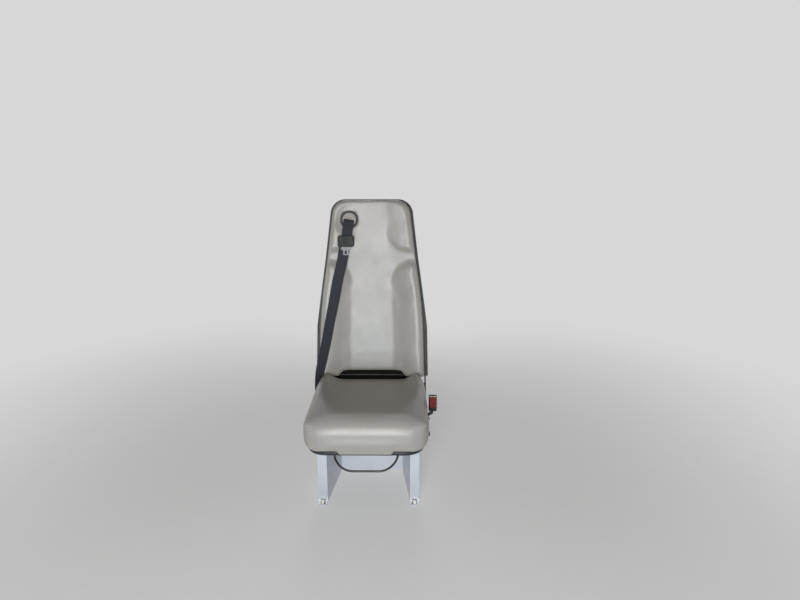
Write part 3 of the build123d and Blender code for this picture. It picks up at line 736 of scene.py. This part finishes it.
def back_pad():
    """The back's pad, which lies on its board, with a dimple round the belt guide."""
    ob = drawn_in("back_pad", "back_cover", np.array(on_back(0, back_middle, -pad_depth)))
    plug_hole(ob)
    cut_even(ob, back_voxel, back_ease)
    x, s, n = to_back(read_points(ob.data))
    swell(ob, n < -pad_depth + back_held,
          foot_share + (1 - foot_share) * above(s, *foot_free))
    x, s, n = to_back(read_points(ob.data))
    arch = 1 + arch_more * below(np.abs(x), *arch_x)
    s = s - foot_drop * arch * below(s, *foot_span)
    n = np.where(n > 0, crown_cap * np.tanh(n / crown_cap), n)
    n = head_front(x, s, n)
    n = n + (evened(ob.data, n[:, None], face_rounds)[:, 0] - n) * above(n, *face_level)
    n = n - hollow_more * below(n, *hollow_level) * above(n, *hollow_rear)
    folds = wrinkles(np.stack([x, s * back_fold_stretch, n], 1), above(n, *back_fold_level),
                     back_fold_size, back_fold_height)
    n = guide_dimple(x, s, n + folds)
    n = np.maximum(n, -pad_depth)
    write_points(ob.data, from_back(x, s, n))
    finish_pad(ob, back_fill, "back_pad")


# Belts

def spline(rows, count):
    """Smooth run through rows of numbers, evenly spaced by their length."""
    rows = np.array(rows, float)
    ends = np.vstack([2 * rows[0] - rows[1], rows, 2 * rows[-1] - rows[-2]])
    fine = []
    steps_between = 24
    for i in range(1, len(ends) - 2):
        a, b, c, d = ends[i - 1:i + 3]
        for t in np.linspace(0, 1, steps_between, endpoint=False):
            fine.append(0.5 * (2 * b + (c - a) * t + (2 * a - 5 * b + 4 * c - d) * t * t
                               + (3 * b - a - 3 * c + d) * t ** 3))
    fine = np.vstack([fine, rows[-1]])
    steps = np.r_[0, np.cumsum(np.linalg.norm(np.diff(fine[:, :3], axis=0), axis=1))]
    at = np.linspace(0, steps[-1], count)
    return np.stack([np.interp(at, steps, fine[:, k]) for k in range(rows.shape[1])], 1)


def belt_profile():
    """Points (across, out) round the belt's section, with full rounded edges."""
    half, thick = web_width / 2, web_thickness / 2
    flat = np.linspace(-half + thick, half - thick, 9)
    top = [(a, thick * (1 - belt_crown * (a / half) ** 2)) for a in flat]
    right = [(half - thick + thick * cos(t), thick * sin(t)) for t in (pi / 4, 0, -pi / 4)]
    under = [(a, -b) for a, b in reversed(top)]
    left = [(-a, -b) for a, b in right]
    return top + right + under + left


def belt(name, centres, acrosses, replaced):
    """Woven strap along its centres, each with its own direction across."""
    section = belt_profile()
    bm = bmesh.new()
    layer = bm.loops.layers.uv.new("metres")
    run = np.r_[0, np.cumsum(np.linalg.norm(np.diff(centres, axis=0), axis=1))]
    rings = []
    for i, centre in enumerate(centres):
        ahead = centres[min(i + 1, len(centres) - 1)] - centres[max(i - 1, 0)]
        across = Vector(acrosses[i]).normalized()
        out = across.cross(Vector(ahead)).normalized()
        ripple = sum(high * sin(run[i] / length + start) for high, length, start in ripples)
        rings.append([bm.verts.new(Vector(centre) + across * a + out * (b + ripple))
                      for a, b in section])
    count = len(section)
    for i in range(len(rings) - 1):
        for k in range(count):
            j = (k + 1) % count
            face = bm.faces.new((rings[i][k], rings[i][j], rings[i + 1][j], rings[i + 1][k]))
            corners = ((k, i), (j, i), (j, i + 1), (k, i + 1))
            for loop, (a, b) in zip(face.loops, corners):
                loop[layer].uv = (section[a][0], run[b])
    bm.faces.new(rings[0])
    bm.faces.new(reversed(rings[-1]))
    bmesh.ops.recalc_face_normals(bm, faces=bm.faces)
    ob = made_piece(name, bm, looks["webbing"], "seat")
    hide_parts(replaced)


def shoulder_belt():
    """From the guide's slot over its lip and down to the tongue."""
    start, end = Vector(guide_place), Vector(tongue_place)
    along = (end - start).normalized()
    sideways = Vector((-along.y, along.x))
    rows = spline([(*(start + along * a), n) for a, n in shoulder_run], shoulder_count)
    centres = np.array([on_back(*row) for row in rows])
    across = Vector((sideways.x, 0, 0)) + back_up * sideways.y
    belt("shoulder_belt", centres, [across] * len(centres), "shoulder_webbing")


def lap_belt():
    """From the tongue down across the back, turning to lie flat on the side anchor."""
    low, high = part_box("lap_anchor")
    anchor = Vector((low[0] - rest_gap - web_thickness / 2, (low[1] + high[1]) / 2, high[2]))
    rows = [(*on_back(x, s, n), turn) for x, s, n, turn in lap_run]
    rows.append((*anchor, 90))
    rows.append((*(anchor - Vector((0, 0, anchor_lap))), 90))
    rows = spline(rows, lap_count)
    centres = rows[:, :3]
    ahead = np.gradient(centres, axis=0)
    acrosses = []
    for direction, turn in zip(ahead, rows[:, 3]):
        level = Vector(direction).cross(back_out).normalized()
        level = level if level.x > 0 else -level
        out = level.cross(Vector(direction)).normalized()
        out = out if out.dot(back_out) > 0 else -out
        t = radians(turn)
        acrosses.append(level * cos(t) - out * sin(t))
    belt("lap_belt", centres, acrosses, "lap_webbing")


# Fasteners

def turned(bm, profile, place, axis, segments):
    """Surface of revolution of points (radius, height) about an axis at a place."""
    turn = Vector((0, 0, 1)).rotation_difference(Vector(axis)).to_matrix().to_4x4()
    frame_at = Matrix.Translation(place) @ turn
    rings = []
    for radius, height in profile:
        rings.append([bm.verts.new(frame_at @ Vector((
            radius * cos(2 * pi * k / segments), radius * sin(2 * pi * k / segments), height)))
            for k in range(segments)])
    for lower, upper in zip(rings, rings[1:]):
        for k in range(segments):
            j = (k + 1) % segments
            bm.faces.new((lower[k], lower[j], upper[j], upper[k]))
    bm.faces.new(reversed(rings[0]))
    bm.faces.new(rings[-1])


def hex_bolts(name, places, axis, flats, body):
    """Hexagon heads on washers, one piece for a group that faces one way."""
    bm = bmesh.new()
    tall = flats * 0.40
    corner = flats / 2 / cos(pi / 6)
    disc = flats * 0.5 * washer_share
    top = tall + washer_height
    for place in places:
        washer = [(disc, 0), (disc, washer_edge), (disc * 0.96, washer_height)]
        turned(bm, washer, place, axis, 40)
        head = [(corner, washer_height), (corner, tall * 0.82), (corner * 0.90, top)]
        turned(bm, head, place, axis, 6)
        boss = [(corner * 0.80, top), (corner * 0.80, top + boss_height)]
        turned(bm, boss, place, axis, 32)
    made_piece(name, bm, fastener_steel, body, smooth=False)


def dome_rivets(name, places, axis, radius, body, look):
    """Low domed heads with a recess, for rivets and trim screws."""
    bm = bmesh.new()
    arc = [(radius * cos(t), radius * dome_rise * sin(t))
           for t in np.linspace(0, dome_turn, dome_points)]
    recess = [(radius * a, radius * b) for a, b in dome_recess]
    for place in places:
        turned(bm, arc + recess, place, axis, 28)
    made_piece(name, bm, look, body)


def surface_at(node, origin, direction):
    """Where a ray first meets a CAD node, and the surface's direction there."""
    hit, place, normal, _ = nodes[node].ray_cast(Vector(origin), Vector(direction))
    if not hit:
        raise RuntimeError(f"nothing of {node} lies on that ray")
    return place, normal


def fasteners():
    """Bolts and screws where the pieces are held together."""
    hex_bolts("floor_bolts", [Vector((x, y, foot_top)) for x in (-bolt_x, bolt_x)
                              for y in (-bolt_y, bolt_y)], (0, 0, 1), floor_flats, "pedestal")
    panel_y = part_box("pedestal_rear_panel")[1][1]
    rows = [Vector((x, panel_y, z)) for x in (-panel_rivet_x, panel_rivet_x)
            for z in panel_rivet_z]
    dome_rivets("panel_rivets", rows, (0, 1, 0), rivet_radius, "pedestal", fastener_steel)
    strip_y = panel_y + strip_sheet
    dome_rivets("strip_rivets", [Vector((x, strip_y, strip_rivet_z)) for x in strip_rivet_x],
                (0, 1, 0), rivet_radius, "pedestal", fastener_steel)
    plate_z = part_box("top_plate")[1][2]
    hex_bolts("plate_bolts", [Vector((x, y, plate_z)) for x in (-plate_x, plate_x)
                              for y in (-plate_y, plate_y)], (0, 0, 1), plate_flats, "pedestal")
    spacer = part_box("bracket_spacers")
    level = (spacer[0][2] + spacer[1][2]) / 2
    for side, label in ((-1, "left"), (1, "right")):
        low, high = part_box(f"side_bracket_{label}")
        face = low[0] if side < 0 else high[0]
        front = face if side < 0 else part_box("buckle_stalk")[0][0] + stalk_sheet
        front_y = stalk_bolt_y[side > 0]
        hex_bolts(f"bracket_bolts_{label}", [Vector((face, bracket_bolt_y, level))],
                  (side, 0, 0), bracket_flats, "seat")
        hex_bolts(f"stalk_bolt_{label}", [Vector((front, front_y, level))],
                  (side, 0, 0), bracket_flats, "seat")


def shell_screws():
    """Trim screws round the back of the shell."""
    for i, (x, s) in enumerate(shell_screw_places):
        for side in (-1, 1):
            place, normal = surface_at("back_shell", on_back(side * x, s, -0.5), back_out)
            label = "left" if side < 0 else "right"
            dome_rivets(f"shell_screw_{label}_{i}", [place], normal, screw_radius, "seat",
                        looks["black_steel"])


def gap_flap():
    """Black apron under the back that closes the gap behind the cushion; its near-black tone is
    partly the apron's own black and partly painted shade of the gap.
    """
    columns, last = gap_flap_columns, gap_flap_rows - 1
    profile = spline(gap_flap_profile, gap_flap_rows)
    bm = bmesh.new()
    sheets = []
    for side in (-1, 1):
        rows = []
        for j, (y, z) in enumerate(profile):
            ahead = profile[min(j + 1, last)] - profile[max(j - 1, 0)]
            ahead /= np.linalg.norm(ahead)
            row = []
            for i in range(columns + 1):
                x = gap_flap_half_width * (2 * i / columns - 1)
                wave = gap_flap_wave * sin(x * gap_flap_waves) * j / last
                off = side * gap_flap_thickness / 2 + wave
                row.append(bm.verts.new((x, y + ahead[1] * off, z - ahead[0] * off)))
            rows.append(row)
        sheets.append(rows)
    for rows in sheets:
        for a, b in zip(rows, rows[1:]):
            for i in range(columns):
                bm.faces.new((a[i], a[i + 1], b[i + 1], b[i]))
    near, far = (rows[0] + [row[-1] for row in rows[1:]] + rows[-1][-2::-1]
                 + [row[0] for row in rows[-2:0:-1]] for rows in sheets)
    for i in range(len(near)):
        j = (i + 1) % len(near)
        bm.faces.new((near[i], near[j], far[j], far[i]))
    bmesh.ops.recalc_face_normals(bm, faces=bm.faces)
    made_piece("gap_flap", bm, apron_and_painted_shade, "seat")


def belt_stitching():
    """Rows of stitches where the lap belt is sewn above its anchor."""
    low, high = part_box("lap_anchor")
    face = low[0] - rest_gap - web_thickness
    bm = bmesh.new()
    width, height = web_width - stitch_margin, stitch_height
    middle_y, foot = (low[1] + high[1]) / 2, high[2] - stitch_foot - height / 2
    corners = [(-1, -1), (1, -1), (1, 1), (-1, 1), (-1, -1), (1, 1), (1, -1), (-1, 1)]
    for (a, b), (c, d) in zip(corners, corners[1:]):
        start = Vector((face, middle_y + a * width / 2, foot + b * height / 2))
        end = Vector((face, middle_y + c * width / 2, foot + d * height / 2))
        count = max(2, int((end - start).length / stitch_pitch))
        turn = (end - start).to_track_quat("Z", "Y").to_matrix().to_4x4()
        for k in range(count):
            middle = start.lerp(end, (k + 0.5) / count)
            bmesh.ops.create_cone(bm, cap_ends=True, segments=8, radius1=stitch_radius,
                                  radius2=stitch_radius, depth=stitch_pitch * stitch_share,
                                  matrix=Matrix.Translation(middle) @ turn)
    made_piece("belt_stitching", bm, thread_look, "seat")


# Studio

def floor():
    """Pale floor that fades into the backdrop, and keeps the seat's shadow."""
    mesh = bpy.data.meshes.new("floor")
    r = floor_reach
    mesh.from_pydata([(-r, -r, 0), (r, -r, 0), (r, r, 0), (-r, r, 0)], [], [(0, 1, 2, 3)])
    ob = bpy.data.objects.new("floor", mesh)
    bpy.context.scene.collection.objects.link(ob)
    mat = bpy.data.materials.new("floor")
    mat.use_nodes = True
    tree = mat.node_tree
    tree.nodes.clear()
    new = tree.nodes.new
    coords = new("ShaderNodeTexCoord")
    away = new("ShaderNodeVectorMath")
    away.operation = "LENGTH"
    tree.links.new(coords.outputs["Object"], away.inputs[0])
    fade = new("ShaderNodeMapRange")
    fade.interpolation_type = "SMOOTHSTEP"
    fade.inputs["From Min"].default_value = fade_start
    fade.inputs["From Max"].default_value = fade_end
    fade.inputs["To Min"].default_value = fade_least
    tree.links.new(away.outputs["Value"], fade.inputs["Value"])
    both = new("ShaderNodeMath")
    both.operation = "MULTIPLY"
    tree.links.new(fade.outputs["Result"], both.inputs[0])
    tree.links.new(seen_directly(tree), both.inputs[1])
    paint = new("ShaderNodeBsdfDiffuse")
    mottle = new("ShaderNodeTexNoise")
    mottle.inputs["Scale"].default_value = 9
    tone = new("ShaderNodeValToRGB")
    tone.color_ramp.elements[0].color = (0.70, 0.70, 0.695, 1)
    tone.color_ramp.elements[1].color = (0.74, 0.74, 0.735, 1)
    tree.links.new(coords.outputs["Object"], mottle.inputs["Vector"])
    tree.links.new(mottle.outputs["Fac"], tone.inputs["Fac"])
    tree.links.new(tone.outputs["Color"], paint.inputs["Color"])
    shown = new("ShaderNodeEmission")
    shown.inputs["Color"].default_value = backdrop
    mix = new("ShaderNodeMixShader")
    tree.links.new(both.outputs[0], mix.inputs["Fac"])
    tree.links.new(paint.outputs[0], mix.inputs[1])
    tree.links.new(shown.outputs[0], mix.inputs[2])
    out = new("ShaderNodeOutputMaterial")
    tree.links.new(mix.outputs[0], out.inputs["Surface"])
    mesh.materials.append(mat)


def seen_directly(tree):
    """One for camera, glossy and transmission rays, otherwise nought."""
    path = tree.nodes.new("ShaderNodeLightPath")
    total = path.outputs["Is Camera Ray"]
    for name in ("Is Glossy Ray", "Is Transmission Ray"):
        most = tree.nodes.new("ShaderNodeMath")
        most.operation = "MAXIMUM"
        tree.links.new(total, most.inputs[0])
        tree.links.new(path.outputs[name], most.inputs[1])
        total = most.outputs[0]
    return total


def world():
    """The backdrop to the eye and in reflections, and a low even light on the seat."""
    sky = bpy.data.worlds.new("studio")
    sky.use_nodes = True
    bpy.context.scene.world = sky
    tree = sky.node_tree
    tree.nodes.clear()
    shown = tree.nodes.new("ShaderNodeBackground")
    shown.inputs["Color"].default_value = backdrop
    light = tree.nodes.new("ShaderNodeBackground")
    light.inputs["Color"].default_value = (0.97, 0.985, 1.0, 1)
    light.inputs["Strength"].default_value = ambient
    mix = tree.nodes.new("ShaderNodeMixShader")
    tree.links.new(seen_directly(tree), mix.inputs["Fac"])
    tree.links.new(light.outputs[0], mix.inputs[1])
    tree.links.new(shown.outputs[0], mix.inputs[2])
    out = tree.nodes.new("ShaderNodeOutputWorld")
    tree.links.new(mix.outputs[0], out.inputs["Surface"])


def lamp(name, place, target, size, power, colour=(1, 1, 1)):
    """Soft lamp of a width and height, aimed at a point."""
    light = bpy.data.lights.new(name, "AREA")
    light.shape = "RECTANGLE"
    light.size, light.size_y = size
    light.energy = power
    light.color = colour
    ob = bpy.data.objects.new(name, light)
    ob.location = place
    ob.rotation_euler = (Vector(target) - Vector(place)).to_track_quat("-Z", "Y").to_euler()
    ob.visible_camera = False
    bpy.context.scene.collection.objects.link(ob)


def camera():
    """The photograph's camera, whose lens is set for a frame 800 pixels wide."""
    data = bpy.data.cameras.new("photograph")
    data.sensor_width = 36
    data.sensor_fit = "HORIZONTAL"
    data.lens = camera_focal / 800 * 36
    data.clip_start = 0.05
    data.clip_end = 60
    ob = bpy.data.objects.new("photograph", data)
    ob.location = camera_place
    ob.rotation_euler = (radians(90 - camera_drop), 0, radians(camera_turn))
    bpy.context.scene.collection.objects.link(ob)
    bpy.context.scene.camera = ob


camera()
world()
floor()
lamp("upper_key", (-0.15, -3.0, 1.50), (0, 0, 0.95), (0.80, 0.9), 46, (1.0, 0.945, 0.87))
lamp("lower_key", (-0.15, -3.0, 0.53), (0, 0, 0.52), (0.80, 1.0), 41, (0.76, 0.89, 1.0))
lamp("rear_fill", (0, 3.2, 1.1), (0, 0, 0.7), (1.4, 1.2), 34)
lamp("left_fill", (-2.8, 0.1, 0.9), (0, 0, 0.6), (1.4, 1.4), 9)
lamp("right_fill", (2.8, 0.1, 0.9), (0, 0, 0.6), (1.4, 1.4), 9)
bpy.context.scene.view_settings.view_transform = "Standard"

seat_pad()
back_pad()
shoulder_belt()
lap_belt()
gap_flap()
belt_stitching()
fasteners()
shell_screws()
